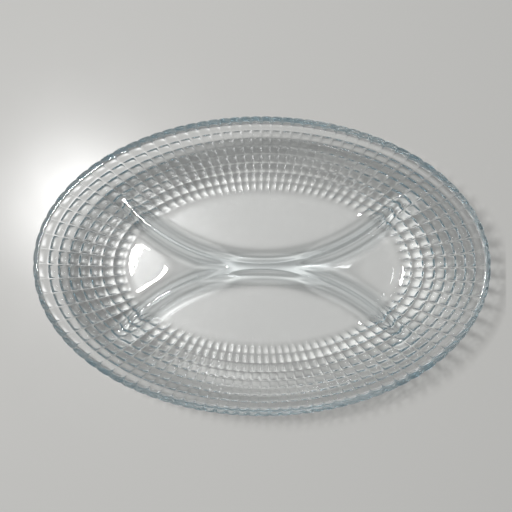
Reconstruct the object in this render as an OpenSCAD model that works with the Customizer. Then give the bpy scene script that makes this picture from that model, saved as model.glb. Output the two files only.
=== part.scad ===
// Oval relish tray of clear pressed glass: a flat floor, a flaring wall of raised
// blocks with a scalloped rim, and two curved dividers that make four compartments.
// Millimetres. +X runs along the tray, +Y to its rear long side, +Z up from the table.

/* [Tray] */
// Overall length over the scallops of the rim
tray_l = 290; // [250:1:330]
// Overall width over the scallops of the rim
tray_w = 190; // [165:1:220]
// Height from the table to the top of the rim
tray_h = 38; // [32:1:46]
// Length of the flat floor
floor_l = 184; // [160:1:194]
// Width of the flat floor
floor_w = 103; // [90:1:115]
// Thickness of the floor
floor_t = 5; // [4:0.5:7]
// How far the flat base stands below the grooves of the lowest block row
base_step = 1.5; // [1.3:0.1:2.2]

/* [Wall] */
// Angle on the wall's curve where it leaves the floor, in degrees
wall_foot_angle = 20; // [12:1:30]
// Angle on the wall's curve at the rim, in degrees
wall_rim_angle = 60; // [50:1:70]
// Thickness of the lip at the tray's ends, measured level and without the scallops
rim_t = 3.4; // [2:0.1:5]
// Thickness of the lip at the tray's long sides
side_rim_t = 4.8; // [3:0.1:6]
// Width of the rim row, measured up the slope at the tray's ends
rim_row = 10; // [8:0.5:16]
// How far the rim's outer edge lies below its top
lip_outer_drop = 2; // [1:0.1:3]
// How far the rim's inner edge lies below its top
lip_inner_drop = 0.6; // [0.2:0.1:1.5]

/* [Blocks] */
// Number of block columns round the tray
columns = 88; // [72:4:96]
// Height of the blocks above their grooves at the tray's ends, where they are largest
block_h = 1.3; // [0.8:0.1:1.5]
// Height of the blocks at the long sides
side_block_h = 0.9; // [0.6:0.1:1.2]
// Width of the V grooves between the blocks
groove_w = 1.8; // [1.2:0.1:2.4]
// How far the scallops of the rim stand out between their grooves
scallop = 0.9; // [0.4:0.1:1.4]

/* [Dividers] */
// Height of the dividers above the floor
divider_h = 15; // [10:1:20]
// Radius of the arc along a divider's crest
divider_r = 118; // [105:1:140]
// Distance between the two crests at the middle of the tray
crest_gap = 2; // [1:0.5:4]
// Width of a divider at its foot
divider_foot_w = 15; // [12:0.5:18]
// Width of the round crest
divider_crest_w = 4.5; // [3:0.5:6]
// Size of the sloping fillet along a divider's foot
foot_fillet = 1.6; // [1:0.1:2.5]
// Length of the bridge that joins the two dividers
bridge_l = 48; // [36:1:60]
// Distance from the middle of the tray to the tip of an end compartment
tip_x = 52; // [48:1:58]
// Radius of the foot line on each side of that tip
tip_r = 97; // [90:1:110]
// Radius of the corner between a divider and the wall at the floor
corner_foot_r = 7; // [4:1:10]
// Radius of the corner between a divider and the wall at the crest
corner_crest_r = 13; // [8:1:16]

/* [Hidden] */

block_rows = 7;
// The outer wall surface at the bottom of the grooves, and the smooth inner surface, at the rim
groove_half = [tray_l / 2 - scallop, tray_w / 2 - scallop];
inner_half = [groove_half.x - rim_t, groove_half.y - side_rim_t];
floor_half = [floor_l / 2, floor_w / 2];
outer_top_z = tray_h - lip_outer_drop;
inner_top_z = tray_h - lip_inner_drop;
// Place of the rim row on the wall, counted from 0 at the floor to 1 at the rim
wall_chord = norm([groove_half.x - floor_half.x, outer_top_z - base_step]);
rim_row_start = 1 - rim_row / wall_chord;
// Centre of the arc that the rear divider's crest follows
divider_centre_y = divider_r + crest_gap / 2;
bridge_steps = 8;
// Sections along an arm: over the floor, and closer together where its corners flare
floor_steps = 5;
flare_steps = 10;

glass = [0.84, 0.89, 0.88, 0.6];
rim_glass = [0.52, 0.62, 0.66, 0.7];

function unit(v) = v / norm(v);

// A four-cornered face as two triangles; turned picks the other diagonal
function quad(a, b, c, d, turned = false) =
    turned ? [[a, b, d], [b, c, d]] : [[a, b, c], [a, c, d]];

// The diagonals mirror from quarter to quarter, so that the tray is alike on both sides of its axes
function turned_quarter(k) = floor(4 * k / columns) % 2 == 1;

// Ellipse angle of a column line: the columns are evenly turned round the rim
function column_angle(k) =
    let (turn = 360 * k / columns) atan2(tray_l * sin(turn), tray_w * cos(turn));

// Place along the wall, from 0 at the floor to 1 at the rim, of the line under a block row
function row_line(row) = rim_row_start * row / block_rows;

// The wall's section is part of an arc: how far out and how far up it has come
function wall_angle(s) = wall_foot_angle + (wall_rim_angle - wall_foot_angle) * s;
function wall_out(s) =
    (sin(wall_angle(s)) - sin(wall_foot_angle)) / (sin(wall_rim_angle) - sin(wall_foot_angle));
function wall_up(s) =
    (cos(wall_foot_angle) - cos(wall_angle(s))) / (cos(wall_foot_angle) - cos(wall_rim_angle));

function wall_point(t, s, rim_half, low_z, high_z) =
    let (reach = floor_half + (rim_half - floor_half) * wall_out(s))
    [reach.x * cos(t), reach.y * sin(t), low_z + (high_z - low_z) * wall_up(s)];
function inner_point(t, s) = wall_point(t, s, inner_half, floor_t, inner_top_z);
function outer_point(t, s) = wall_point(t, s, groove_half, base_step, outer_top_z);

// One cell of the wall between four groove lines: lower left, lower right, upper right, upper left
function wall_cell(k, s_low, s_high) =
    let (left = column_angle(k), right = column_angle(k + 1))
    [
        outer_point(left, s_low),
        outer_point(right, s_low),
        outer_point(right, s_high),
        outer_point(left, s_high)
    ];

// A cell's corner moved in from both grooves by half their width
function past_grooves(cell, i) =
    let (
        along = cell[i % 2 == 0 ? i + 1 : i - 1] - cell[i],
        across = cell[3 - i] - cell[i]
    )
    cell[i] + (unit(along) + unit(across)) * groove_w / 2;

// The raised face of the block in a column's cell
function block_face(k, cell) =
    let (
        height = side_block_h + (block_h - side_block_h) * pow(cos(360 * (k + 0.5) / columns), 2),
        lift = height * unit(cross(cell[1] - cell[0], cell[3] - cell[0]))
    )
    [for (i = [0:3]) past_grooves(cell, i) + lift];

// A scallop's edge at the top of a rim cell: the right corner, then the left one
function scallop_edge(cell) =
    let (
        along = unit(cell[3] - cell[2]) * groove_w / 2,
        mid = (cell[2] + cell[3]) / 2,
        outward = scallop * unit([mid.x / pow(groove_half.x, 2), mid.y / pow(groove_half.y, 2), 0])
    )
    [cell[2] + along + outward, cell[3] - along + outward];

// The flat oval floor: its underside is the base that the tray stands on
module floor_plate() {
    edge = [for (k = [0:columns - 1]) inner_point(column_angle(k), 0)];
    color(glass)
        linear_extrude(floor_t)
            polygon([for (p = edge) [p.x, p.y]]);
}

// One row of raised blocks, smooth inside, ending on the groove lines below and above it
module block_row(row) {
    s_low = row_line(row - 1);
    s_high = row_line(row);
    per_column = 8;
    points = [
        for (k = [0:columns - 1])
            let (t = column_angle(k))
            each concat(
                [inner_point(t, s_low), inner_point(t, s_high)],
                [outer_point(t, s_low), outer_point(t, s_high)],
                block_face(k, wall_cell(k, s_low, s_high))
            )
    ];
    faces = [
        for (k = [0:columns - 1])
            let (
                a = per_column * k,
                b = per_column * ((k + 1) % columns),
                turned = turned_quarter(k)
            )
            each concat(
                quad(a, b, b + 1, a + 1, turned),
                quad(a + 2, b + 2, b, a, turned),
                quad(b + 3, a + 3, a + 1, b + 1, !turned),
                quad(a + 2, a + 3, a + 7, a + 4),
                quad(a + 3, b + 3, a + 6, a + 7),
                quad(b + 3, b + 2, a + 5, a + 6),
                quad(b + 2, a + 2, a + 4, a + 5),
                quad(a + 4, a + 7, a + 6, a + 5)
            )
    ];
    color(glass)
        polyhedron(points, faces);
}

// The rim row: blocks that run out into the scalloped edge, under a rounded lip
module scalloped_rim() {
    s_low = row_line(block_rows);
    per_column = 9;
    points = [
        for (k = [0:columns - 1])
            let (
                t = column_angle(k),
                cell = wall_cell(k, s_low, 1),
                lower = block_face(k, cell),
                top = (inner_point(t, 1) + outer_point(t, 1)) / 2
            )
            each concat(
                [inner_point(t, s_low), inner_point(t, 1)],
                [outer_point(t, s_low), outer_point(t, 1)],
                [lower[0], lower[1]],
                scallop_edge(cell),
                [[top.x, top.y, tray_h]]
            )
    ];
    faces = [
        for (k = [0:columns - 1])
            let (
                a = per_column * k,
                b = per_column * ((k + 1) % columns),
                turned = turned_quarter(k)
            )
            each concat(
                quad(a, b, b + 1, a + 1, turned),
                quad(a + 2, b + 2, b, a, turned),
                quad(a + 2, a + 3, a + 7, a + 4),
                quad(b + 3, b + 2, a + 5, a + 6),
                quad(b + 2, a + 2, a + 4, a + 5),
                quad(a + 4, a + 7, a + 6, a + 5),
                [[a + 7, a + 3, a + 8], [a + 6, a + 7, a + 8]],
                [[a + 6, a + 8, b + 8], [b + 3, a + 6, b + 8]],
                quad(b + 8, a + 8, a + 1, b + 1, turned)
            )
    ];
    color(rim_glass)
        polyhedron(points, faces);
}

// Half of a divider's section, from its foot to its crest, as [offset from the crest, height]
function half_section(foot) =
    let (crest_round = divider_crest_w / 2)
    [
        [foot, 0],
        [foot - foot_fillet, foot_fillet],
        [crest_round, divider_h - crest_round],
        [crest_round * cos(45), divider_h - crest_round * (1 - sin(45))],
        [0, divider_h]
    ];

// A point of the rear divider at a place along the tray, offset from its crest to the rear
function divider_point(x, offset, height) =
    [x, divider_centre_y - sqrt(pow(divider_r - offset, 2) - x * x), floor_t + height];

// The same at a sweep of the crest's arc from the middle of the tray
function swept_point(sweep, offset, height) =
    let (r = divider_r - offset)
    [r * sin(sweep), divider_centre_y - r * cos(sweep), floor_t + height];

// Half sizes of the bowl's inside at a height above the floor
function bowl_half(height) =
    let (
        up = max(height, 0) / (inner_top_z - floor_t),
        angle = acos(cos(wall_foot_angle) - up * (cos(wall_foot_angle) - cos(wall_rim_angle))),
        out = (sin(angle) - sin(wall_foot_angle)) / (sin(wall_rim_angle) - sin(wall_foot_angle))
    )
    floor_half + (inner_half - floor_half) * out;

// Sweep at which the crest's arc comes to the wall at a height above the floor, found by halving
function landing(height, low = 0, high = 90, tries = 24) =
    let (
        middle = (low + high) / 2,
        p = swept_point(middle, 0, 0),
        half = bowl_half(height),
        inside = pow(p.x / half.x, 2) + pow(p.y / half.y, 2) < 1
    )
    tries == 0 ? low : landing(height, inside ? middle : low, inside ? high : middle, tries - 1);

// Width of a divider's foot on the side of the end compartment, whose tip is rounder than the arc
function tip_foot(sweep) =
    let (
        apart = divider_centre_y - sqrt(tip_r * tip_r - tip_x * tip_x),
        reach = apart * cos(sweep) + sqrt(tip_r * tip_r - pow(apart * sin(sweep), 2))
    )
    max(divider_foot_w / 2, reach - divider_r);

// How far a divider's side has spread at a sweep: a round corner between the side and the wall
function corner_spread(sweep, height) =
    let (
        r = corner_foot_r + (corner_crest_r - corner_foot_r) * max(height, 0) / divider_h,
        rest = divider_r * (landing(height) - sweep) * PI / 180,
        into = min(max(r - rest, 0), r)
    )
    r - sqrt(r * r - into * into);

// One side of an arm's section, from a foot buried in the floor up to the crest
function arm_side(sweep, foot) =
    let (
        half = half_section(foot),
        side = concat([[foot + foot_fillet, -foot_fillet]], half)
    )
    [for (p = side) [p[0] + (p[0] > 0 ? corner_spread(sweep, p[1]) : 0), p[1]]];

// An arm's whole section: the rear side up to the crest, then the end compartment's side down
function arm_section(sweep) =
    let (
        rear = arm_side(sweep, divider_foot_w / 2),
        other = arm_side(sweep, tip_foot(sweep))
    )
    concat(rear, [for (i = [len(other) - 2:-1:0]) [-other[i][0], other[i][1]]]);

function front(p) = [p.x, -p.y, p.z];

// The bridge where the two dividers run together: flat on top between their crests
module divider_bridge() {
    section = half_section(divider_foot_w / 2);
    n = len(section);
    stations = [for (i = [0:bridge_steps]) bridge_l * (i / bridge_steps - 1 / 2)];
    points = [
        for (x = stations)
            let (rear = [for (p = section) divider_point(x, p[0], p[1])])
            each concat(rear, [for (p = rear) front(p)])
    ];
    last = 2 * n * bridge_steps;
    faces = concat(
        [
            for (i = [0:bridge_steps - 1])
                let (a = 2 * n * i, b = a + 2 * n)
                each concat(
                    [for (j = [0:n - 2]) each quad(a + j, b + j, b + j + 1, a + j + 1)],
                    [for (j = [n:2 * n - 2]) each quad(a + j, a + j + 1, b + j + 1, b + j)],
                    quad(a + n - 1, b + n - 1, b + 2 * n - 1, a + 2 * n - 1),
                    quad(a, a + n, b + n, b)
                )
        ],
        [for (j = [0:n - 2]) each quad(j, j + 1, n + j + 1, n + j)],
        [for (j = [0:n - 2]) each quad(last + j, last + n + j, last + n + j + 1, last + j + 1)]
    );
    color(glass)
        polyhedron(points, faces);
}

// The space inside one quarter of the bowl, up to the rim row
module quarter_bowl() {
    quarter = columns / 4;
    ring = quarter + 2;
    points = [
        for (row = [0:block_rows])
            let (s = row_line(row))
            each concat(
                [for (k = [0:quarter]) inner_point(column_angle(k), s)],
                [[0, 0, inner_point(0, s).z]]
            )
    ];
    top = ring * block_rows;
    faces = concat(
        [
            for (row = [0:block_rows - 1])
                let (a = ring * row, b = a + ring)
                each concat(
                    [for (k = [0:quarter - 1]) each quad(a + k, b + k, b + k + 1, a + k + 1)],
                    quad(a + quarter, b + quarter, b + quarter + 1, a + quarter + 1),
                    quad(a + quarter + 1, b + quarter + 1, b, a)
                )
        ],
        [for (k = [0:quarter - 1]) [k, k + 1, quarter + 1]],
        [for (k = [0:quarter - 1]) [top + k + 1, top + k, top + quarter + 1]]
    );
    polyhedron(points, faces);
}

// The ridge of one divider from the bridge outwards, reaching down into the floor and the wall
module divider_ridge() {
    start = asin(bridge_l / 2 / divider_r);
    flare_start = landing(0) - corner_foot_r / divider_r * 180 / PI;
    flare_end = landing(divider_h) + 1;
    sweeps = concat(
        [for (i = [1:floor_steps]) start + (flare_start - start) * i / floor_steps],
        [for (i = [1:flare_steps]) flare_start + (flare_end - flare_start) * i / flare_steps],
        [flare_end + 8]
    );
    points = concat(
        [for (p = arm_section(start)) divider_point(bridge_l / 2, p[0], p[1])],
        [for (sweep = sweeps) each [for (p = arm_section(sweep)) swept_point(sweep, p[0], p[1])]]
    );
    n = len(arm_section(start));
    steps = len(sweeps);
    last = n * steps;
    middle = floor(n / 2);
    faces = concat(
        [
            for (i = [0:steps - 1])
                let (a = n * i, b = a + n)
                each [for (j = [0:n - 1]) let (m = (j + 1) % n) each quad(a + j, b + j, b + m, a + m)]
        ],
        [for (j = [0:middle - 1]) each quad(j, j + 1, n - 2 - j, n - 1 - j)],
        [for (j = [0:middle - 1]) each quad(last + j, last + n - 1 - j, last + n - 2 - j, last + j + 1)]
    );
    polyhedron(points, faces);
}

// A divider's arm, trimmed by the bowl's own inside so that it seats on the floor and the wall
module divider_arm() {
    color(glass)
        intersection() {
            divider_ridge();
            quarter_bowl();
        }
}

module rear_right_divider() {
    divider_arm();
}

module rear_left_divider() {
    mirror([1, 0, 0])
        divider_arm();
}

module front_left_divider() {
    rotate([0, 0, 180])
        divider_arm();
}

module front_right_divider() {
    mirror([0, 1, 0])
        divider_arm();
}

floor_plate();
block_row(1);  // block_row_1
block_row(2);  // block_row_2
block_row(3);  // block_row_3
block_row(4);  // block_row_4
block_row(5);  // block_row_5
block_row(6);  // block_row_6
block_row(7);  // block_row_7
scalloped_rim();
divider_bridge();
rear_right_divider();
rear_left_divider();
front_left_divider();
front_right_divider();
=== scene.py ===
# %% [markdown]
# # An oval relish tray of clear pressed glass
# A relish tray is one pressing of glass: a flat oval floor, a wall that flares out to a
# scalloped rim, and two curved dividers. Its wall is covered with small pillow-shaped blocks,
# moulded on the outside only, and these make the glass sparkle.
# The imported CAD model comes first, because it fixes where everything is. Its solids meet face
# to face, and glass would show those inner faces as dark sheets, so the looks are made as one
# closed skin round the same shape.

# %% The fixed frame
import math

import bpy
import numpy as np
from mathutils import Matrix, Vector, kdtree
from mathutils.geometry import delaunay_2d_cdt


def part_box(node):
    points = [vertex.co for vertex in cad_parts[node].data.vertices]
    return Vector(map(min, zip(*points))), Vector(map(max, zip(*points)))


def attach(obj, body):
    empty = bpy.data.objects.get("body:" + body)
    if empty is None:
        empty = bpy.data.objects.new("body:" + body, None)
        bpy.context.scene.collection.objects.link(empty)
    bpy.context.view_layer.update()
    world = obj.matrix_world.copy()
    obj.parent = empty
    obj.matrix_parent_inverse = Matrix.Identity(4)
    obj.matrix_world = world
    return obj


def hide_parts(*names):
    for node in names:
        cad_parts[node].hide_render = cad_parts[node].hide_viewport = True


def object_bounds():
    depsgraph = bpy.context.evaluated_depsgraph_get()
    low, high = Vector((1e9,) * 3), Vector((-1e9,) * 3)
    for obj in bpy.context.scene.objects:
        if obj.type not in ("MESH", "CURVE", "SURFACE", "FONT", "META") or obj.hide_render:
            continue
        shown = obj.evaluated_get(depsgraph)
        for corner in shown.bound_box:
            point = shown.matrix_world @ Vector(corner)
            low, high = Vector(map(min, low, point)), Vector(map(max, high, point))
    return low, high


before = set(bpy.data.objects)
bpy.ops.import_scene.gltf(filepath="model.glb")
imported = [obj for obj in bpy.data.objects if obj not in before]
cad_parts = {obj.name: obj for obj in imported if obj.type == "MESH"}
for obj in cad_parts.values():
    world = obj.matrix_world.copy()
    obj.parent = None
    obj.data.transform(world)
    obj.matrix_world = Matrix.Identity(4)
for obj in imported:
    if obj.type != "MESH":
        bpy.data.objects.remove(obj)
cad_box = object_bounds()
scene = bpy.context.scene
MM = 0.001
print("CAD box in mm:", [[round(v / MM, 2) for v in corner] for corner in cad_box])

# %% [markdown]
# ## The camera
# The photo looks almost straight down, from a little in front of the tray and to its right.
# A camera could be turned by hand until the picture fits. Here its place is worked out from
# what the photo shows: how far it leans from the upright, how far away it is, and which point
# of the rim lies in the middle of the picture.

# %% The camera
CAMERA_DISTANCE = 640 * MM
LEAN_RIGHT = 0.040
LEAN_FRONT = 0.060
PICTURE_WIDTH = 323.0 * MM
PICTURE_CENTRE = Vector((-2.5 * MM, 5.5 * MM, cad_box[1].z))
PICTURE_ROLL = math.radians(0.5)
SENSOR_IN_MM = 36


def make_camera():
    """A camera above the tray whose picture is PICTURE_WIDTH wide at the rim."""
    data = bpy.data.cameras.new("camera")
    camera = bpy.data.objects.new("camera", data)
    scene.collection.objects.link(camera)
    back = Vector((LEAN_RIGHT, -LEAN_FRONT, 1)).normalized()
    right = Vector((0, 1, 0)).cross(back).normalized()
    turn = Matrix((right, back.cross(right), back)).transposed()
    roll = Matrix.Rotation(PICTURE_ROLL, 3, "Z")
    camera.rotation_euler = (turn @ roll).to_euler()
    camera.location = PICTURE_CENTRE + back * CAMERA_DISTANCE
    data.sensor_width = SENSOR_IN_MM
    data.lens = SENSOR_IN_MM * CAMERA_DISTANCE / PICTURE_WIDTH
    return camera


scene.camera = make_camera()
scene.view_settings.view_transform = "Standard"
print("Lens:", round(scene.camera.data.lens, 1), "mm")

# %% [markdown]
# ## A mottle for both surfaces
# Neither the table nor the glass is perfectly even. The table has a cloudy film, and the glass
# has the slow waves of its mould and a trace of finger marks. Both are soft noise, so the noise
# is built once as a shader group, and each material places it with its own scale and range.
# The two helpers make a node in one line, here and in every tree further down.

# %% Nodes in one line
def set_inputs(tree, node, inputs):
    """Gives a node's inputs sockets to follow or plain values to hold."""
    for slot, value in inputs.items():
        if isinstance(value, bpy.types.NodeSocket):
            tree.links.new(value, node.inputs[slot])
        else:
            node.inputs[slot].default_value = value


def add_node(tree, kind, inputs=None, **settings):
    """A new node with its settings and its inputs."""
    node = tree.nodes.new(kind)
    for name, value in settings.items():
        setattr(node, name, value)
    set_inputs(tree, node, inputs or {})
    return node


print("Node helpers:", set_inputs.__name__, add_node.__name__)

# %% The mottle group
NOISE_DETAIL = 2
NOISE_LOW = 0.3
NOISE_HIGH = 0.7


def make_mottle():
    """A shader group: soft noise on the object's own coordinates, between two values."""
    group = bpy.data.node_groups.new("mottle", "ShaderNodeTree")
    for label in ("Scale", "Low", "High"):
        group.interface.new_socket(label, in_out="INPUT", socket_type="NodeSocketFloat")
    group.interface.new_socket("Value", in_out="OUTPUT", socket_type="NodeSocketFloat")
    entry = add_node(group, "NodeGroupInput").outputs
    place = add_node(group, "ShaderNodeTexCoord").outputs["Object"]
    grain = {"Vector": place, "Scale": entry["Scale"], "Detail": NOISE_DETAIL}
    noise = add_node(group, "ShaderNodeTexNoise", grain).outputs["Fac"]
    limits = {"Value": noise, "From Min": NOISE_LOW, "From Max": NOISE_HIGH}
    limits |= {"To Min": entry["Low"], "To Max": entry["High"]}
    spread = add_node(group, "ShaderNodeMapRange", limits).outputs["Result"]
    add_node(group, "NodeGroupOutput", {"Value": spread})
    return group


mottle = make_mottle()


def add_mottle(tree, scale, low, high):
    """Places the mottle in a material's tree and gives back its value."""
    inputs = {"Scale": scale, "Low": low, "High": high}
    return add_node(tree, "ShaderNodeGroup", inputs, node_tree=mottle).outputs["Value"]


print("Group:", mottle.name, [item.name for item in mottle.interface.items_tree])

# %% [markdown]
# ## The table and the light
# The tray stands on a pale grey table with a dull shine. A single square would do for it, but a
# later step works out how much of the lamp's light reaches each spot, so its points lie close
# together under the tray. One soft lamp hangs above it, to the left and a little to the rear,
# and a dim room fills in the rest. Glass has hardly a colour of its own: its dark lines are the
# dim room and its sparks are the lamp. A lamp alone would leave those lines black, so the room
# gives a low light of its own, pale overhead, and bluish and darker towards the horizon as in a
# real one.

# %% The table
TABLE_SIDE = 60.0
TABLE_GAP = 0.1 * MM
LIGHT_STEP = 1.0 * MM
LIGHT_HALF = np.array([164, 115]) * MM


def table_line(half):
    """Places of the table's points along one axis: close under the tray, then out to the edge."""
    close = np.arange(-half, half + LIGHT_STEP / 2, LIGHT_STEP)
    return np.concatenate(([-TABLE_SIDE / 2], close, [TABLE_SIDE / 2]))


def table_mesh():
    """A sheet just under the tray's base, with a value on each point for the lamp's light."""
    x, y = np.meshgrid(table_line(LIGHT_HALF[0]), table_line(LIGHT_HALF[1]), indexing="ij")
    points = np.column_stack((x.ravel(), y.ravel(), np.full(x.size, -TABLE_GAP)))
    index = np.arange(x.size).reshape(x.shape)
    corners = (index[:-1, :-1], index[1:, :-1], index[1:, 1:], index[:-1, 1:])
    mesh = bpy.data.meshes.new("table")
    mesh.from_pydata(points.tolist(), [], np.stack(corners, -1).reshape(-1, 4).tolist())
    light = mesh.attributes.new("lamp_light", "FLOAT", "POINT")
    light.data.foreach_set("value", np.ones(x.size, np.float32))
    return mesh


table = bpy.data.objects.new("table", table_mesh())
scene.collection.objects.link(table)
print("Table points:", len(table.data.vertices))

# %% The table's finish, with painted light and shade
TABLE_COLOUR = (0.56, 0.548, 0.528, 1)
TABLE_SHINE = 0.15
FILM_SCALE = 30
FILM_SMOOTHEST = 0.18
FILM_ROUGHEST = 0.21


def make_table_finish_with_painted_light():
    """A pale film with a dull shine; its colour follows the light kept on the table's points, as
    painted light and shade.
    """
    material = bpy.data.materials.new("pale_table")
    material.use_nodes = True
    tree = material.node_tree
    light = add_node(tree, "ShaderNodeAttribute", attribute_name="lamp_light").outputs["Color"]
    # Painted light and shade: the table's colour is multiplied by the spots and shadow that the tray
    # throws.
    lit = {"Fac": 1, "Color1": TABLE_COLOUR, "Color2": light}
    colour = add_node(tree, "ShaderNodeMixRGB", lit, blend_type="MULTIPLY").outputs["Color"]
    gloss = add_mottle(tree, FILM_SCALE, FILM_SMOOTHEST, FILM_ROUGHEST)
    finish = {"Base Color": colour, "Roughness": gloss, "Specular IOR Level": TABLE_SHINE}
    set_inputs(tree, tree.nodes["Principled BSDF"], finish)
    return material


table.data.materials.append(make_table_finish_with_painted_light())
print("Table finish:", table.data.materials[0].name)

# %% The lamp and the room
LAMP_PLACE = Vector((-0.418, 0.190, 1.5))
LAMP_SIZE = (0.20, 0.26)
LAMP_POWER = 17
ROOM_LOW = (0.06, 0.085, 0.095, 1)
ROOM_HIGH = (0.56, 0.56, 0.56, 1)
ROOM_POWER = 3.0


def make_lamp():
    """A soft rectangular lamp that faces the tray."""
    data = bpy.data.lights.new("soft_lamp", "AREA")
    data.shape = "RECTANGLE"
    data.size = LAMP_SIZE[0]
    data.size_y = LAMP_SIZE[1]
    data.energy = LAMP_POWER
    lamp = bpy.data.objects.new("soft_lamp", data)
    lamp.location = LAMP_PLACE
    lamp.rotation_euler = LAMP_PLACE.to_track_quat("Z", "Y").to_euler()
    scene.collection.objects.link(lamp)
    return lamp


def make_room():
    """A grey room, pale overhead, and bluish and darker at the horizon."""
    world = bpy.data.worlds.new("room")
    world.use_nodes = True
    tree = world.node_tree
    place = add_node(tree, "ShaderNodeTexCoord").outputs["Generated"]
    up = add_node(tree, "ShaderNodeSeparateXYZ", {"Vector": place}).outputs["Z"]
    climb = add_node(tree, "ShaderNodeMath", {0: up, 1: ROOM_POWER}, operation="POWER", use_clamp=True)
    rise = {"Fac": climb.outputs["Value"], "Color1": ROOM_LOW, "Color2": ROOM_HIGH}
    colour = add_node(tree, "ShaderNodeMixRGB", rise).outputs["Color"]
    set_inputs(tree, tree.nodes["Background"], {"Color": colour})
    return world


lamp = make_lamp()
scene.world = make_room()
print("Lamp of", LAMP_POWER, "W at", tuple(round(v, 2) for v in LAMP_PLACE))

# %% [markdown]
# ## The sizes of the pressing
# The sizes could be read off the photo a second time, but the looks would then drift away from
# the solids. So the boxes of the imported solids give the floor, the rim and the bridge between
# the dividers. What a box can't tell, such as the slope of the wall or the number of block
# columns, is written down here once, as it is in the CAD model. Only the small roll of the lip
# is added.

# %% Sizes
rim_reach = np.array(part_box("scalloped_rim")[1])
floor_reach = np.array(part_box("floor_plate")[1])
bridge_reach = np.array(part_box("divider_bridge")[1])

SCALLOP = 0.9 * MM
RIM_THICKNESS = np.array([3.4, 4.8]) * MM
RIM_ROW = 10 * MM
BASE_STEP = 1.5 * MM
LIP_OUTER_DROP = 2.0 * MM
LIP_INNER_DROP = 0.6 * MM
LIP_ROLL_OUT = 0.06 * MM
WALL_FOOT_ANGLE = math.radians(20)
WALL_RIM_ANGLE = math.radians(60)
COLUMNS = 88
BLOCK_ROWS = 7

tray_height = rim_reach[2]
floor_half = floor_reach[:2]
floor_top = floor_reach[2]
groove_half = rim_reach[:2] - SCALLOP - LIP_ROLL_OUT
inner_half = groove_half - RIM_THICKNESS
outer_top = tray_height - LIP_OUTER_DROP
inner_top = tray_height - LIP_INNER_DROP
wall_chord = math.hypot(groove_half[0] - floor_half[0], outer_top - BASE_STEP)
rim_row_start = 1 - RIM_ROW / wall_chord
print("Floor", np.round(floor_half / MM, 2), "rim", np.round(groove_half / MM, 2), "mm, half sizes")

# %% [markdown]
# ## The inside as a height over the table
# Inside, the tray is smooth: every spot of it has one height, so a formula can give it. The
# glass was pressed by a plunger with four pads, one for each compartment. A pad has sloping
# sides, rounded corners and a flare at its foot, and between the pads the glass rose to the
# tops of the dividers. Ridges could be added to a bowl instead, but their corners would come
# out sharp. So the formula asks, for each spot, how high up the side of its pad it lies, and
# fillets join the crest to the wall and the foot to the floor. The crests run where the CAD
# model has them, and their rounds are softer, as those of pressed glass are.

# %% The bowl
FOOT_ROUND = 0.9 * MM
SHARE_LOWEST = -0.8
SHARE_HIGHEST = 1.05
HALVINGS = 40
sin_foot = math.sin(WALL_FOOT_ANGLE)
sin_rim = math.sin(WALL_RIM_ANGLE)
cos_foot = math.cos(WALL_FOOT_ANGLE)
cos_rim = math.cos(WALL_RIM_ANGLE)
foot_slope = math.tan(WALL_FOOT_ANGLE) * (sin_rim - sin_foot) / (cos_foot - cos_rim)
wall_run = inner_half - floor_half


def soft_max(a, b, reach):
    """The larger of two values, with the corner between them filled over a given reach."""
    overlap = np.maximum(reach - np.abs(a - b), 0)
    return np.maximum(a, b) + overlap ** 2 / (4 * reach)


def halve(low, high, is_outside):
    """The values between two bounds at which a test stops being true, for all spots at once."""
    for _ in range(HALVINGS):
        middle = (low + high) / 2
        outside = is_outside(middle)
        low = np.where(outside, middle, low)
        high = np.where(outside, high, middle)
    return (low + high) / 2


def wall_share(x, y):
    """How far out a spot lies: 0 at the floor's edge, 1 at the inner rim."""

    def is_outside(share):
        reach_x = floor_half[0] + wall_run[0] * share
        reach_y = floor_half[1] + wall_run[1] * share
        return (x / reach_x) ** 2 + (y / reach_y) ** 2 > 1

    return halve(np.full_like(x, SHARE_LOWEST), np.full_like(x, SHARE_HIGHEST), is_outside)


def wall_rise(share):
    """Height of the wall's arc at a share of its way out, going straight on below the floor."""
    sine = sin_foot + (sin_rim - sin_foot) * np.maximum(share, 0)
    rise = (cos_foot - np.sqrt(1 - sine ** 2)) / (cos_foot - cos_rim)
    return np.where(share < 0, foot_slope * share, rise)


def share_at(rise):
    """The other way round: how far out the wall has come at a height."""
    cosine = cos_foot - (cos_foot - cos_rim) * np.maximum(rise, 0)
    share = (np.sqrt(1 - cosine ** 2) - sin_foot) / (sin_rim - sin_foot)
    return np.where(rise < 0, rise / foot_slope, share)


spots = np.array([0, 0.5, 1.0])
print("Wall rise at its foot, middle and rim:", np.round(wall_rise(spots), 3))

# %% The pads of the plunger
CREST_RADIUS = 118 * MM
CREST_GAP = 2 * MM
CREST_HALF = 1.3 * MM
CREST_ROUND = 1.5 * MM
LANDING_ROUND = 5 * MM
FOOT_HALF = 7.0 * MM
FOOT_FLARE = 4.0 * MM
FLARE_START = 0.6
CORNER_LOW = 8 * MM
CORNER_HIGH = 15 * MM
TIP_LOW = 19.6 * MM
TIP_HIGH = 8 * MM
TIP_DEEPEST = 1.2
PAD_DEPTH = 6 * MM
LEAST_LIFT = 0.02 * MM
crest_z = bridge_reach[2]
crest_height = crest_z - floor_top
crest_centre = CREST_RADIUS + CREST_GAP / 2
wall_height = inner_top - floor_top


def past_crest(x, y):
    """Distance from the rear divider's crest, positive towards the rear compartment."""
    return CREST_RADIUS - np.hypot(x, crest_centre - y)


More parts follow.
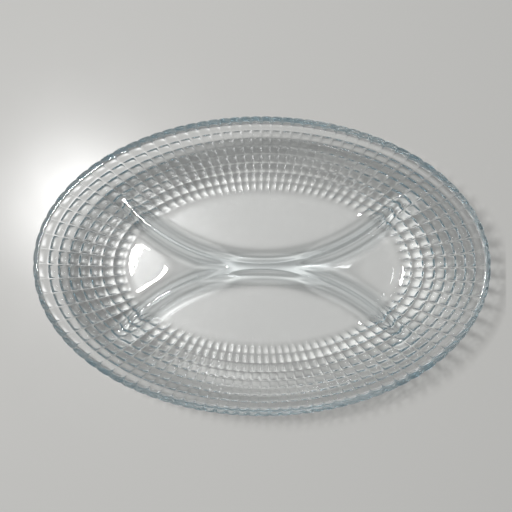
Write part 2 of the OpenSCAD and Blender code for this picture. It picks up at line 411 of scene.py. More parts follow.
def side_distance(x, y, share, z):
    """Distance from the side of a spot's own pad at a height, negative inside the pad."""
    drop = (crest_z - z) / crest_height
    flare = np.maximum(drop - FLARE_START, 0) / (1 - FLARE_START)
    half_width = CREST_HALF + (FOOT_HALF - CREST_HALF) * drop + FOOT_FLARE * flare ** 2
    corner = CORNER_HIGH + (CORNER_LOW - CORNER_HIGH) * np.clip(drop, 0, 1)
    tip = TIP_HIGH + (TIP_LOW - TIP_HIGH) * np.clip(drop, 0, TIP_DEEPEST)
    rear = past_crest(x, y)
    front = past_crest(x, -y)
    between = soft_max(half_width + rear, half_width + front, tip)
    divider = np.where(rear > 0, half_width - rear, between)
    angle = np.arctan2(y * inner_half[0], x * inner_half[1])
    run = np.hypot(wall_run[0] * np.cos(angle), wall_run[1] * np.sin(angle))
    wall = (share - share_at((z - floor_top) / wall_height)) * run
    return soft_max(divider, wall, corner)


def pad_height(x, y, share):
    """Height at which the side of the pad passes a spot."""

    def is_outside(z):
        return side_distance(x, y, share, z) > 0

    return halve(np.full_like(x, floor_top - PAD_DEPTH), np.full_like(x, tray_height), is_outside)


def bare_wall(share):
    """Height of the bare wall."""
    return floor_top + wall_height * wall_rise(share)


def inside_height(x, y):
    """The whole inside of the tray: floor, wall and dividers, for the rear half."""
    share = wall_share(x, y)
    landing = soft_max(np.full_like(x, crest_z), bare_wall(share), LANDING_ROUND)
    sides = -soft_max(-pad_height(x, y, share), -landing, CREST_ROUND)
    sides = np.maximum(sides, bare_wall(share))
    return soft_max(sides, np.full_like(x, floor_top), FOOT_ROUND)


def divider_shapes(x, y):
    """True where a divider or the round of a corner lifts the surface off the bare bowl."""
    bowl = soft_max(bare_wall(wall_share(x, y)), np.full_like(x, floor_top), FOOT_ROUND)
    return inside_height(x, y) > bowl + LEAST_LIFT


print("Crest", round(crest_height / MM, 2), "mm over the floor")

# %% [markdown]
# ## A mesh whose lines follow the form
# A plain square grid would cut the slanting ridges into steps. So the points are laid where the
# form runs: in oval rings on the wall, and in lines along each divider. Blender's Delaunay
# triangulation then joins them. The tray is alike in its four quarters, so one quarter is made
# and mirrored.

# %% Lines and rings of one quarter
SPLITS = 8
CROWDING = 0.095
FILLET_RINGS = np.linspace(-0.09, 0.09, 11)
WALL_RINGS = np.linspace(0.12, 0.97, 29)
FLOOR_EDGE = -0.11
FLOOR_STEP = 1.8 * MM
RIDGE_REACH = 20 * MM
RIDGE_SWEEP = math.radians(60)
RIDGE_LINE_STEP = 0.6 * MM
RIDGE_POINT_STEP = 1.2 * MM
LEAST_GAP = 0.5 * MM
quarter_splits = COLUMNS * SPLITS // 4


def column_angle(column):
    """Ellipse angle of a column line: the columns are evenly turned round the rim."""
    crowded = column - CROWDING * np.sin(2 * np.pi * column)
    turn = 2 * np.pi * crowded / COLUMNS
    return np.arctan2(rim_reach[0] * np.sin(turn), rim_reach[1] * np.cos(turn))


def ring(share, angles):
    """Points of an oval ring on the wall."""
    reach = floor_half + wall_run * share
    return np.column_stack((reach[0] * np.cos(angles), reach[1] * np.sin(angles)))


def wall_points():
    """Rings from the floor's edge to the rim, closer together at the fillet of the foot."""
    angles = column_angle(np.linspace(0, COLUMNS / 4, quarter_splits // 2 + 1))
    return np.concatenate([ring(share, angles) for share in (*FILLET_RINGS, *WALL_RINGS)])


def floor_points():
    """An even grid for the flat of the floor."""
    x = np.arange(0, floor_half[0], FLOOR_STEP)
    y = np.arange(0, floor_half[1], FLOOR_STEP)
    spread = np.stack(np.meshgrid(x, y), -1).reshape(-1, 2)
    return spread[wall_share(spread[:, 0], spread[:, 1]) < FLOOR_EDGE]


def divider_points():
    """Lines along the rear divider, and a line along the tray's axis for the valley."""
    offsets = np.arange(-RIDGE_REACH, RIDGE_REACH, RIDGE_LINE_STEP)
    sweep = np.arange(0, RIDGE_SWEEP, RIDGE_POINT_STEP / CREST_RADIUS)
    offset, angle = np.meshgrid(offsets, sweep)
    x = (CREST_RADIUS - offset) * np.sin(angle)
    y = crest_centre - (CREST_RADIUS - offset) * np.cos(angle)
    lines = np.column_stack((x.ravel(), y.ravel()))
    lines = lines[lines[:, 1] > LEAST_GAP]
    axis = np.arange(0, floor_half[0], RIDGE_POINT_STEP / 2)
    return np.concatenate((np.column_stack((axis, 0 * axis)), lines))


quarter_angles = column_angle(np.linspace(0, COLUMNS / 4, quarter_splits + 1))
rim_line = ring(1.0, quarter_angles)
landing_share = float(share_at(np.array(crest_height / wall_height)))
landing_line = ring(landing_share, quarter_angles)
print("Dividers land on the wall at", round(landing_share, 3), "of its way out")

# %% Points of one quarter
def apart_from(points, others, gap):
    """The points that keep a gap from all the others."""
    near = kdtree.KDTree(len(others))
    for i, p in enumerate(others):
        near.insert((p[0], p[1], 0), i)
    near.balance()
    far = [near.find((p[0], p[1], 0))[2] > gap for p in points]
    return points[np.array(far)]


ridge_lines = divider_points()
ridge_lines = ridge_lines[wall_share(ridge_lines[:, 0], ridge_lines[:, 1]) < landing_share]
ridge_lines = ridge_lines[divider_shapes(ridge_lines[:, 0], ridge_lines[:, 1])]
ridge_lines = apart_from(ridge_lines, landing_line, LEAST_GAP)
plain = np.concatenate((wall_points(), floor_points()))
plain = plain[~divider_shapes(plain[:, 0], plain[:, 1])]
plain = apart_from(plain, np.concatenate((ridge_lines, landing_line)), LEAST_GAP)
quarter = np.concatenate((rim_line, landing_line, ridge_lines, plain))
print("Points in a quarter:", len(rim_line), "rim,", len(ridge_lines), "divider,", len(plain), "plain")

# %% The inside mesh
AXIS_SNAP = 0.001 * MM
SAME_PLACE = 1e-7
INSIDE_FENCE = 1
RIM_SHARE = 0.999


def axis_chain(points, axis):
    """The points on one axis in order, as the edges of a chain."""
    on_axis = np.flatnonzero(np.abs(points[:, 1 - axis]) < AXIS_SNAP)
    order = on_axis[np.argsort(points[on_axis, axis])]
    return list(zip(order[:-1].tolist(), order[1:].tolist()))


def triangulate(points):
    """Delaunay triangles of a quarter, fenced by its rim and its two axes."""
    points = np.where(np.abs(points) < AXIS_SNAP, 0, points)
    rim = [(i, i + 1) for i in range(len(rim_line) - 1)]
    landing = [(i + len(rim_line), j + len(rim_line)) for i, j in rim]
    edges = rim + landing + axis_chain(points, 0) + axis_chain(points, 1)
    starts = [Vector(p) for p in points]
    flat, _, faces, *_ = delaunay_2d_cdt(starts, edges, [], INSIDE_FENCE, SAME_PLACE)
    return np.array([tuple(p) for p in flat]), np.array(faces)


def lift(flat):
    """Gives the flat points their heights, with the rim's own line exactly level."""
    heights = inside_height(flat[:, 0], flat[:, 1])
    heights[wall_share(flat[:, 0], flat[:, 1]) > RIM_SHARE] = inner_top
    return np.column_stack((flat, heights))


def mirror_quarters(points, faces):
    """Four mirrored copies, with their faces turned where a mirror turns them inside out."""
    all_points = []
    all_faces = []
    for side_x, side_y in ((1, 1), (-1, 1), (-1, -1), (1, -1)):
        turned = faces if side_x * side_y > 0 else faces[:, ::-1]
        all_faces.append(turned + len(points) * len(all_points))
        all_points.append(points * (side_x, side_y, 1))
    return np.concatenate(all_points), np.concatenate(all_faces)


flat_points, triangles = triangulate(quarter)
inside_points, inside_faces = mirror_quarters(lift(flat_points), triangles)
inside_mesh = bpy.data.meshes.new("inside")
inside_mesh.from_pydata(inside_points.tolist(), [], inside_faces.tolist())
print("Inside:", len(inside_points), "points,", len(inside_faces), "triangles")

# %% [markdown]
# ## Clear pressed glass
# Soda glass is clear, but a long way through it looks grey-blue, which is why the rim reads as
# a dark line. A tinted surface would darken thin and thick glass alike, so the tint is a volume
# that absorbs along the way. In the blocks and the rolled lip, light is mirrored many times
# before it comes out, and a path that is cut short would end black, so long paths are allowed.
# Lamps shine through glass with little loss, and path tracing finds such light slowly. So rays
# that only carry light to the table pass unbent, and those from the lamp lose some where they
# meet the glass at a slant, which gives the tray its pale shadow. Where the glass gathers the
# lamp's light into spots is worked out further down.

# %% The glass surface
GLASS_IOR = 1.51
MARKS_SCALE = 60
MARKS_ROUGHNESS = 0.03
RIPPLE_SCALE = 90
RIPPLE_STRENGTH = 0.25
RIPPLE_DEPTH = 0.05 * MM
SHADE_FROM = 0.06
SHADE_TO = 0.45
SHADE_DARK = 0.7


def glass_surface(tree):
    """The polished surface, with mould ripple and faint finger marks."""
    marks = add_mottle(tree, MARKS_SCALE, 0, MARKS_ROUGHNESS)
    ripple = add_mottle(tree, RIPPLE_SCALE, 0, 1)
    wave = {"Height": ripple, "Strength": RIPPLE_STRENGTH, "Distance": RIPPLE_DEPTH}
    bump = add_node(tree, "ShaderNodeBump", wave).outputs["Normal"]
    shader = tree.nodes["Principled BSDF"]
    finish = {"Base Color": (1, 1, 1, 1), "IOR": GLASS_IOR, "Transmission Weight": 1}
    set_inputs(tree, shader, finish | {"Roughness": marks, "Normal": bump})
    return shader.outputs["BSDF"]


def lamp_shade(tree):
    """What the lamp's light meets in its place: clear, but darker at a slant."""
    slant = add_node(tree, "ShaderNodeLayerWeight").outputs["Facing"]
    limits = {"Value": slant, "From Min": SHADE_FROM, "From Max": SHADE_TO}
    limits |= {"To Min": 1, "To Max": SHADE_DARK}
    shade = add_node(tree, "ShaderNodeMapRange", limits).outputs["Result"]
    return add_node(tree, "ShaderNodeBsdfTransparent", {"Color": shade}).outputs["BSDF"]


print("Index of refraction:", GLASS_IOR)

# %% The glass material
GLASS_TINT = (0.88, 0.928, 0.946, 1)
GLASS_DENSITY = 30
GLASS_BENDS = 60
MIRROR_BENDS = 60
CLEAR_PASSES = 32


def either(tree, test, no, yes):
    """One of two shaders, by a test on the ray."""
    return add_node(tree, "ShaderNodeMixShader", {"Fac": test, 1: no, 2: yes}).outputs["Shader"]


def make_glass():
    """Clear glass that absorbs inside and lets the light of lamp and room through to the table."""
    material = bpy.data.materials.new("clear_pressed_glass")
    material.use_nodes = True
    tree = material.node_tree
    ray = add_node(tree, "ShaderNodeLightPath").outputs
    clear = add_node(tree, "ShaderNodeBsdfTransparent").outputs["BSDF"]
    seen = either(tree, ray["Is Diffuse Ray"], glass_surface(tree), clear)
    surface = either(tree, ray["Is Shadow Ray"], seen, lamp_shade(tree))
    tint = {"Color": GLASS_TINT, "Density": GLASS_DENSITY}
    depth = add_node(tree, "ShaderNodeVolumeAbsorption", tint).outputs["Volume"]
    set_inputs(tree, tree.nodes["Material Output"], {"Surface": surface, "Volume": depth})
    return material


glass = make_glass()
scene.cycles.max_bounces = GLASS_BENDS
scene.cycles.transmission_bounces = GLASS_BENDS
scene.cycles.glossy_bounces = MIRROR_BENDS
scene.cycles.transparent_max_bounces = CLEAR_PASSES
print("Material:", glass.name, "with", len(glass.node_tree.nodes), "nodes")

# %% [markdown]
# ## The outside, by rule
# The outside of the wall is a pattern: 88 columns by 7 rows of pillows, and a rim row that runs
# out into scallops. Over six hundred blocks could be placed one by one, but they are one surface
# that follows a rule, so a Geometry Nodes tree bends a plain grid into the wall, the rolled lip
# and the foot, and then lifts the pillows along the normals. The helper below lets a sum of
# fields be written as on paper; each sign adds one Math node to the tree.

# %% Fields as sums
class Field:
    """A number that a tree works out for every point."""

    def __init__(self, tree, socket):
        self.tree = tree
        self.socket = socket

    def math(self, operation, *others):
        """One Math node with this field as its first input."""
        inputs = {slot: socket_of(value) for slot, value in enumerate((self, *others))}
        node = add_node(self.tree, "ShaderNodeMath", inputs, operation=operation)
        return Field(self.tree, node.outputs["Value"])

    def __add__(self, other):
        return self.math("ADD", other)

    __radd__ = __add__

    def __sub__(self, other):
        return self.math("SUBTRACT", other)

    def __rsub__(self, other):
        return self.math("MULTIPLY", -1) + other

    def __mul__(self, other):
        return self.math("MULTIPLY", other)

    __rmul__ = __mul__

    def __truediv__(self, other):
        return self.math("DIVIDE", other)

    def __pow__(self, other):
        return self.math("POWER", other)

    def between(self, low, high):
        """The field kept between two values."""
        return self.math("MAXIMUM", low).math("MINIMUM", high)


def socket_of(value):
    """The socket of a field; a plain number stays as it is."""
    return value.socket if isinstance(value, Field) else value


def vector_of(tree, x, y, z):
    """Three fields or numbers as one vector."""
    inputs = {"X": socket_of(x), "Y": socket_of(y), "Z": socket_of(z)}
    return add_node(tree, "ShaderNodeCombineXYZ", inputs).outputs["Vector"]


print("Field signs:", "+ - * / **")

# %% The tree's inputs
FOOT_ROWS = 6
LIP_ROWS = 10
PATTERN_ROWS = SPLITS * (BLOCK_ROWS + 1)
GRID_ROWS = FOOT_ROWS + PATTERN_ROWS + LIP_ROWS
TREE_SIZES = {
    "Rim Half Length": groove_half[0],
    "Rim Half Width": groove_half[1],
    "Floor Half Length": floor_half[0],
    "Floor Half Width": floor_half[1],
    "Outline Length": rim_reach[0],
    "Outline Width": rim_reach[1],
    "Outer Top": outer_top,
    "Inner Top": inner_top,
    "Lip Length": RIM_THICKNESS[0],
    "Lip Width": RIM_THICKNESS[1],
    "Lip Roll": 5.2 * MM,
    "Base Step": BASE_STEP,
    "Foot Reach": 7.0 * MM,
    "End Block Height": 1.8 * MM,
    "Side Block Height": 0.65 * MM,
    "Block Bend": 2.3,
    "Block Round": 1.3,
    "Scallop": SCALLOP,
}


def new_tree(name, sizes):
    """A Geometry Nodes tree with named sizes as its inputs, and the sockets that bring them in."""
    tree = bpy.data.node_groups.new(name, "GeometryNodeTree")
    tree.interface.new_socket("Geometry", in_out="INPUT", socket_type="NodeSocketGeometry")
    tree.interface.new_socket("Geometry", in_out="OUTPUT", socket_type="NodeSocketGeometry")
    for label in sizes:
        tree.interface.new_socket(label, in_out="INPUT", socket_type="NodeSocketFloat")
    return tree, add_node(tree, "NodeGroupInput").outputs


pressing, press_entry = new_tree("pressed_outside", TREE_SIZES)
size = {label: Field(pressing, press_entry[label]) for label in TREE_SIZES}
print("Tree inputs:", len(size))

# %% The wall, the lip and the foot from one grid
WELD = 0.01 * MM


def flat_grid():
    """A flat grid of side 1: one way round the tray, the other way from the base up to the lip."""
    inputs = {"Vertices X": COLUMNS * SPLITS + 1, "Vertices Y": GRID_ROWS + 1}
    inputs |= {"Size X": 1, "Size Y": 1}
    return add_node(pressing, "GeometryNodeMeshGrid", inputs).outputs["Mesh"]


def stored(geometry, name, field):
    """Keeps a field on the points under a name, and gives back the geometry and the field."""
    inputs = {"Geometry": geometry, "Name": name, "Value": field.socket}
    store = add_node(pressing, "GeometryNodeStoreNamedAttribute", inputs)
    read = add_node(pressing, "GeometryNodeInputNamedAttribute", {"Name": name})
    return store.outputs["Geometry"], Field(pressing, read.outputs["Attribute"])


def oval_place(column, reach_out, z):
    """The spot on a column line at a given reach from the tray's two axes."""
    crowded = column - (column * (2 * math.pi)).math("SINE") * CROWDING
    turn = crowded * (2 * math.pi / COLUMNS)
    along = size["Outline Length"] * turn.math("SINE")
    across = size["Outline Width"] * turn.math("COSINE")
    angle = along.math("ARCTAN2", across)
    x = reach_out[0] * angle.math("COSINE")
    y = reach_out[1] * angle.math("SINE")
    return vector_of(pressing, x, y, z)


def moved(geometry, slot, vector):
    """A Set Position node, with a vector as its Position or its Offset."""
    inputs = {"Geometry": geometry, slot: vector}
    return add_node(pressing, "GeometryNodeSetPosition", inputs).outputs["Geometry"]


def merged(geometry):
    """Points that lie together become one."""
    inputs = {"Geometry": geometry, "Distance": WELD}
    return add_node(pressing, "GeometryNodeMergeByDistance", inputs).outputs["Geometry"]


grid_place = add_node(pressing, "GeometryNodeInputPosition").outputs["Position"]
grid_axes = add_node(pressing, "ShaderNodeSeparateXYZ", {"Vector": grid_place}).outputs
around = Field(pressing, grid_axes["X"]) + 0.5
upward = Field(pressing, grid_axes["Y"]) + 0.5
shell, column = stored(flat_grid(), "column", around * COLUMNS)
shell, climb = stored(shell, "climb", upward * GRID_ROWS)
print("Grid:", COLUMNS * SPLITS, "by", GRID_ROWS, "faces")

# %% The smooth outside
LIP_ANGLE = math.radians(55)
ROW_CROWDING = 1.6
foot_share = (1 - climb / FOOT_ROWS).between(0, 1)
even_row = ((climb - FOOT_ROWS) / SPLITS).between(0, BLOCK_ROWS + 1)
step_up = 1 - (1 - even_row.math("FRACT")) ** ROW_CROWDING
row = even_row.math("FLOOR") + step_up
lip_share = ((climb - FOOT_ROWS - PATTERN_ROWS) / LIP_ROWS).between(0, 1)

at_rim = (row - BLOCK_ROWS).between(0, 1)
low_rows = row.between(0, BLOCK_ROWS) * (rim_row_start / BLOCK_ROWS)
wall_place = low_rows + at_rim * (1 - rim_row_start)
wall_angle = wall_place * (WALL_RIM_ANGLE - WALL_FOOT_ANGLE) + WALL_FOOT_ANGLE
wall_out = (wall_angle.math("SINE") - sin_foot) / (sin_rim - sin_foot)
wall_up = (cos_foot - wall_angle.math("COSINE")) / (cos_foot - cos_rim)

lip_step = lip_share * lip_share * (3 - 2 * lip_share)
lip_bulge = lip_share * (1 - lip_share) * size["Lip Roll"]
foot_in = foot_share * size["Foot Reach"]
foot_z = (1 - (1 - foot_share) ** 2) * size["Base Step"]

block_side = (column.math("FRACT") * 2 - 1).math("ABSOLUTE")
fade = (1 - lip_share) ** 2
scallop = (1 - block_side ** 2) * at_rim ** 2 * fade * size["Scallop"]
shift = lip_bulge * math.cos(LIP_ANGLE) - foot_in + scallop
floor_length = size["Floor Half Length"]
floor_width = size["Floor Half Width"]
flare_x = (size["Rim Half Length"] - floor_length) * wall_out
flare_y = (size["Rim Half Width"] - floor_width) * wall_out
reach_x = floor_length + flare_x + shift - lip_step * size["Lip Length"]
reach_y = floor_width + flare_y + shift - lip_step * size["Lip Width"]
wall_z = size["Base Step"] + (size["Outer Top"] - size["Base Step"]) * wall_up
lip_z = (size["Inner Top"] - size["Outer Top"]) * lip_step + lip_bulge * math.sin(LIP_ANGLE)
wall_spot = oval_place(column, (reach_x, reach_y), wall_z + lip_z - foot_z)
smooth_outside = merged(moved(shell, "Position", wall_spot))
print("Math nodes so far:", sum(node.bl_idname == "ShaderNodeMath" for node in pressing.nodes))

# %% [markdown]
# ## The pillows
# Each block is a soft pillow: flat on top, steeper to its edge, and easing out into the groove
# that parts it from its neighbours. That edge is what shows in the glass, because a steep edge
# mirrors the dim room as a dark arc, while the top lets the table through. A profile could be
# drawn as a curve, but one formula, used along and across, makes the corners round as well. At
# the two ends of the tray the blocks stand out further than along its sides.

# %% The pillows
def pillow(side):
    """How far a block stands out between its middle, side 0, and the groove, side 1."""
    return (1 - side ** size["Block Bend"]) ** size["Block Round"]


row_side = (row.math("FRACT") * 2 - 1).math("ABSOLUTE")
to_end = (column * (2 * math.pi / COLUMNS)).math("COSINE") ** 2
tallness = size["Side Block Height"] + (size["End Block Height"] - size["Side Block Height"]) * to_end
relief = pillow(block_side) * pillow(row_side) * tallness * fade * (1 - at_rim)
outward = add_node(pressing, "GeometryNodeInputNormal").outputs["Normal"]
stretch = {0: outward, "Scale": relief.socket}
raised = add_node(pressing, "ShaderNodeVectorMath", stretch, operation="SCALE").outputs["Vector"]
outside = moved(smooth_outside, "Offset", raised)
print("Blocks:", COLUMNS * BLOCK_ROWS, "and", COLUMNS, "scallops")

# %% The base and the end of the tree
def base_plate():
    """The flat oval of the base, as one face that looks down."""
    count = {"Vertices": COLUMNS * SPLITS}
    circle = add_node(pressing, "GeometryNodeMeshCircle", count, fill_type="NGON").outputs["Mesh"]
    index = add_node(pressing, "GeometryNodeInputIndex").outputs["Index"]
    base_half = (floor_length - size["Foot Reach"], floor_width - size["Foot Reach"])
    oval = moved(circle, "Position", oval_place(Field(pressing, index) / SPLITS, base_half, 0))
    return add_node(pressing, "GeometryNodeFlipFaces", {"Mesh": oval}).outputs["Mesh"]


def end_tree():
    """Joins the inside, the outside and the base into one closed skin of glass."""
    join = add_node(pressing, "GeometryNodeJoinGeometry")
    for part in (press_entry["Geometry"], outside, base_plate()):
        pressing.links.new(part, join.inputs["Geometry"])
    skin = merged(join.outputs["Geometry"])
    skin = add_node(pressing, "GeometryNodeSetShadeSmooth", {"Geometry": skin}).outputs["Geometry"]
    skin = add_node(pressing, "GeometryNodeRealizeInstances", {"Geometry": skin}).outputs["Geometry"]
    finish = {"Geometry": skin, "Material": glass}
    skin = add_node(pressing, "GeometryNodeSetMaterial", finish).outputs["Geometry"]
    add_node(pressing, "NodeGroupOutput", {"Geometry": skin})


end_tree()
print("Tree nodes:", len(pressing.nodes))

# %% [markdown]
# ## The tree's result as a plain mesh
# The modifier's inputs are set by their identifiers before the object is first evaluated. The
# result is then copied to a plain mesh, so that the piece keeps nothing live. A glass skin has
# to be closed and to face outwards, or light would bend the wrong way, so both are measured.

# %% The finished piece
def add_tree(piece, tree, sizes):
    """Puts a tree on an object and sets its inputs."""
    modifier = piece.modifiers.new(tree.name, "NODES")
    modifier.node_group = tree
    for item in tree.interface.items_tree:
        if item.in_out == "INPUT" and item.name in sizes:
            modifier[item.identifier] = float(sizes[item.name])


def evaluated(piece):
    """The object as its tree makes it."""
    return piece.evaluated_get(bpy.context.evaluated_depsgraph_get())


def press(mesh, name):
    """Runs the tree on the inside's mesh and gives back a new object with the plain result."""
    source = bpy.data.objects.new("source", mesh)
    scene.collection.objects.link(source)
    add_tree(source, pressing, TREE_SIZES)
    plain_mesh = bpy.data.meshes.new_from_object(evaluated(source))
    bpy.data.objects.remove(source)
    for extra in ("column", "climb"):
        plain_mesh.attributes.remove(plain_mesh.attributes[extra])
    plain_mesh.name = name
    piece = bpy.data.objects.new(name, plain_mesh)
    scene.collection.objects.link(piece)
    return piece


tray = press(inside_mesh, "glass_tray")
bpy.data.meshes.remove(inside_mesh)
print("Piece:", tray.name, "with", len(tray.data.vertices), "points")

# %% Is the skin closed?
CUBIC_CM = 1e-6


def values_of(items, name, width, kind):
    """One property of all the items of a mesh, as rows of a given width."""
    values = np.zeros(len(items) * width, kind)
    items.foreach_get(name, values)
    return values.reshape(-1, width)


def skin_report(mesh):
    """Triangles, edges without two faces, and the volume that the faces enclose."""
    mesh.calc_loop_triangles()
    corners = values_of(mesh.loop_triangles, "vertices", 3, np.int32)
    places = values_of(mesh.vertices, "co", 3, np.float32).astype(float)
    a, b, c = places[corners].transpose(1, 0, 2)
    volume = np.einsum("ij,ij->i", a, np.cross(b, c)).sum() / 6
    edge_of_loop = values_of(mesh.loops, "edge_index", 1, np.int32).ravel()
    uses = np.bincount(edge_of_loop, minlength=len(mesh.edges))
    return len(corners), int((uses != 2).sum()), round(volume / CUBIC_CM, 1)


print("Triangles, open edges, volume in cm3:", skin_report(tray.data))

# %% [markdown]
# ## The light that the tray throws on the table
# Each block of the wall is a small lens. It gathers the lamp's light into a spot on the table
# and leaves shade around it, and seen through the wall these spots are the sparkle of pressed
# glass. Path tracing starts at the camera and finds them only by luck. So this step goes the
# other way, as light does: rays start all over the lamp, bend at each surface of the glass, and
# are counted where they land. A Geometry Nodes tree with a Raycast node for each surface follows
# more than a million of them in about ten seconds.
# The rays aim at an even grid on the table, which whole steps of rays fill, so that the bare
# table comes out even. For this light the lamp is taken twice as wide as it is, which blurs the
# fringes round the rim as the unevenness of real blocks would.

# %% Rays from the lamp
LAMP_SPOTS = 7
LAMP_GLOW = 2.0
RAYS_PER_STEP = 4
RAY_STEP = LIGHT_STEP * LAMP_SPOTS / RAYS_PER_STEP
START_GAP = 2 * MM
start_height = tray_height + START_GAP


def lamp_rays():
    """Places just above the tray on the way from each spot of the lamp to a grid on the table."""
    share = (np.arange(LAMP_SPOTS) + 0.5) / LAMP_SPOTS - 0.5
    first = -LIGHT_HALF - LIGHT_STEP / 2 + RAY_STEP / 2
    x, y = np.meshgrid(*(np.arange(start, -start + RAY_STEP / 2, RAY_STEP) for start in first))
    aims = np.column_stack((x.ravel(), y.ravel(), np.full(x.size, -TABLE_GAP)))
    turn = np.array(lamp.rotation_euler.to_matrix())
    places = []
    ways = []
    for u in share:
        for v in share:
            glow = (u * LAMP_SIZE[0] * LAMP_GLOW, v * LAMP_SIZE[1] * LAMP_GLOW, 0)
            spot = np.array(LAMP_PLACE) + turn @ glow
            way = aims + (u * RAY_STEP, v * RAY_STEP, 0) - spot
            places.append(spot + way * ((start_height - spot[2]) / way[:, 2:]))
            ways.append(way / np.linalg.norm(way, axis=1)[:, None])
    return np.concatenate(places), np.concatenate(ways)


def ray_object():
    """The rays as an object of loose points, each with the way it goes."""
    places, ways = lamp_rays()
    mesh = bpy.data.meshes.new("rays")
    mesh.vertices.add(len(places))
    mesh.vertices.foreach_set("co", places.astype(np.float32).ravel())
    way = mesh.attributes.new("way", "FLOAT_VECTOR", "POINT")
    way.data.foreach_set("vector", ways.astype(np.float32).ravel())
    rays = bpy.data.objects.new("rays", mesh)
    scene.collection.objects.link(rays)
    return rays


rays = ray_object()
print("Rays:", len(rays.data.vertices))

# %% The path tree's inputs
PATH_SIZES = {"Glass IOR": GLASS_IOR, "Nudge": 0.002 * MM}
paths, path_entry = new_tree("light_paths", PATH_SIZES)
out_of_glass = Field(paths, path_entry["Glass IOR"])
into_glass = out_of_glass ** -1


def vector_math(operation, *values, scale=None):
    """One Vector Math node."""
    inputs = dict(enumerate(values))
    if scale is not None:
        inputs["Scale"] = scale
    node = add_node(paths, "ShaderNodeVectorMath", inputs, operation=operation)
    return node.outputs["Value" if operation in ("DOT_PRODUCT", "LENGTH") else "Vector"]


def ray_value(name):
    """A vector that is kept on each ray."""
    inputs = {"Name": name}
    node = add_node(paths, "GeometryNodeInputNamedAttribute", inputs, data_type="FLOAT_VECTOR")
    return node.outputs["Attribute"]


def keep(geometry, name, value):
    """Stores a vector on each ray."""
    inputs = {"Geometry": geometry, "Name": name, "Value": value}
    node = add_node(paths, "GeometryNodeStoreNamedAttribute", inputs, data_type="FLOAT_VECTOR")
    return node.outputs["Geometry"]


def choose(test, no, yes):
    """One of two vectors."""
    inputs = {"Switch": test, "False": no, "True": yes}
    return add_node(paths, "GeometryNodeSwitch", inputs, input_type="VECTOR").outputs["Output"]


print("Path inputs:", ", ".join(PATH_SIZES))

# %% One surface of the glass
LEAST_LENGTH = 0.5
glass_skin = add_node(paths, "GeometryNodeObjectInfo", {"Object": tray}).outputs["Geometry"]
skin_normal = add_node(paths, "GeometryNodeInputNormal").outputs["Normal"]
here = add_node(paths, "GeometryNodeInputPosition").outputs["Position"]


def next_surface():
    """Where each ray meets the glass next, with the glass's smooth normal there."""
    inputs = {"Target Geometry": glass_skin, "Attribute": skin_normal}
    inputs |= {"Source Position": here, "Ray Direction": ray_value("way")}
    return add_node(paths, "GeometryNodeRaycast", inputs, data_type="FLOAT_VECTOR").outputs


def bend(geometry):
    """Takes each ray to its next surface, where it is bent, or mirrored if it meets it too flat."""
    way = ray_value("way")
    hit = next_surface()
    normal = vector_math("NORMALIZE", hit["Attribute"])
    leaving = Field(paths, vector_math("DOT_PRODUCT", way, normal)).math("GREATER_THAN", 0)
    towards = vector_math("SCALE", normal, scale=(1 - 2 * leaving).socket)
    ratio = leaving * (out_of_glass - into_glass) + into_glass
    bent = vector_math("REFRACT", way, towards, scale=ratio.socket)
    too_flat = Field(paths, vector_math("LENGTH", bent)).math("LESS_THAN", LEAST_LENGTH)
    turned = choose(too_flat.socket, bent, vector_math("REFLECT", way, towards))
    geometry = keep(geometry, "next way", choose(hit["Is Hit"], way, turned))
    geometry = keep(geometry, "next place", choose(hit["Is Hit"], here, hit["Hit Position"]))
    geometry = keep(geometry, "way", ray_value("next way"))
    nudge = vector_math("SCALE", way, scale=path_entry["Nudge"])
    move = {"Geometry": geometry, "Position": vector_math("ADD", ray_value("next place"), nudge)}
    return add_node(paths, "GeometryNodeSetPosition", move).outputs["Geometry"]


print("Glass to meet:", tray.name)

# %% Six surfaces in a row
SURFACES = 6


def build_paths():
    """Bends the rays at one surface after another; a ray still in the glass is turned upwards."""
    geometry = path_entry["Geometry"]
    for _ in range(SURFACES):
        geometry = bend(geometry)
    lost = vector_of(paths, 0, 0, 1)
    geometry = keep(geometry, "way", choose(next_surface()["Is Hit"], ray_value("way"), lost))
    add_node(paths, "NodeGroupOutput", {"Geometry": geometry})


build_paths()
print("Path nodes:", len(paths.nodes))

# %% Where the rays land
def landing_places():
    """Runs the tree and follows the rays that come out downwards to the table."""
    add_tree(rays, paths, PATH_SIZES)
    shown = evaluated(rays).data
    places = values_of(shown.vertices, "co", 3, np.float32)
    ways = values_of(shown.attributes["way"].data, "vector", 3, np.float32)
    falls = ways[:, 2] < 0
    places = places[falls]
    ways = ways[falls]
    travel = (-TABLE_GAP - places[:, 2]) / ways[:, 2]
    return places[:, :2] + ways[:, :2] * travel[:, None]


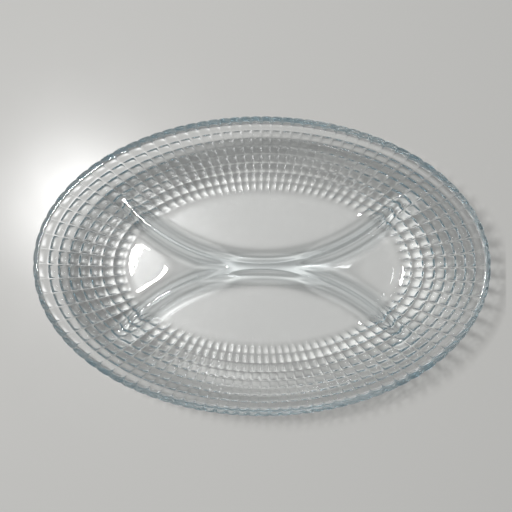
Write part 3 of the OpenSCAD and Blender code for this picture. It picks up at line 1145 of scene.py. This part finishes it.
def light_on_table(places):
    """Lamp light at each point of the table's fine part, as a share of the bare table's."""
    places = places[(np.abs(places) < LIGHT_HALF).all(axis=1)]
    low, part = np.divmod((places + LIGHT_HALF) / LIGHT_STEP, 1)
    low = low.astype(int)
    light = np.zeros(np.round(2 * LIGHT_HALF / LIGHT_STEP).astype(int) + 1)
    for corner in ((0, 0), (0, 1), (1, 0), (1, 1)):
        nearness = np.abs(1 - np.array(corner) - part).prod(axis=1)
        np.add.at(light, tuple((low + corner).T), nearness / RAYS_PER_STEP ** 2)
    for axis in (0, 1):
        light = (np.roll(light, 1, axis) + 2 * light + np.roll(light, -1, axis)) / 4
    return light


thrown = light_on_table(landing_places())
print("Light on the table, least, middle and most:", np.round(np.percentile(thrown, (0, 50, 100)), 2))

# %% [markdown]
# ## The thrown light in the table's colour
# The pattern could be saved as a picture and laid on the table as a texture. A value on each of
# the table's points does the same without a file, and the finish multiplies the table's colour
# with it. The room lights the table too, and evenly, so only the lamp's part of all the light
# follows the pattern. That part is worked out from the lamp's power and distance and from the
# room's brightness. The brightest spots are held back, so that no colour goes past white.

# %% The light on the table
LIGHT_TOP = 1.75
BORDER = 3
room_low = sum(ROOM_LOW[:3]) / 3
room_high = sum(ROOM_HIGH[:3]) / 3
room_light = math.pi * (room_low + 2 * (room_high - room_low) / (ROOM_POWER + 2))
lamp_light = LAMP_POWER / math.pi * LAMP_PLACE.z / LAMP_PLACE.length ** 3
lamp_part = lamp_light / (lamp_light + room_light)


def store_light(light):
    """Writes the light on the table's points, with none changed along the border."""
    inner = light[BORDER:-BORDER, BORDER:-BORDER]
    # These values become painted light and shade in the table's colour.
    lit = np.minimum(1 + lamp_part * (inner - 1), LIGHT_TOP)
    whole = np.pad(lit, BORDER + 1, constant_values=1).astype(np.float32)
    table.data.attributes["lamp_light"].data.foreach_set("value", whole.ravel())


store_light(thrown)
ray_mesh = rays.data
bpy.data.objects.remove(rays)
bpy.data.meshes.remove(ray_mesh)
bpy.data.node_groups.remove(paths)
print("The lamp's part of the light:", round(lamp_part, 3))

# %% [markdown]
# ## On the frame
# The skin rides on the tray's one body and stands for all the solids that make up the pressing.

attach(tray, "root")
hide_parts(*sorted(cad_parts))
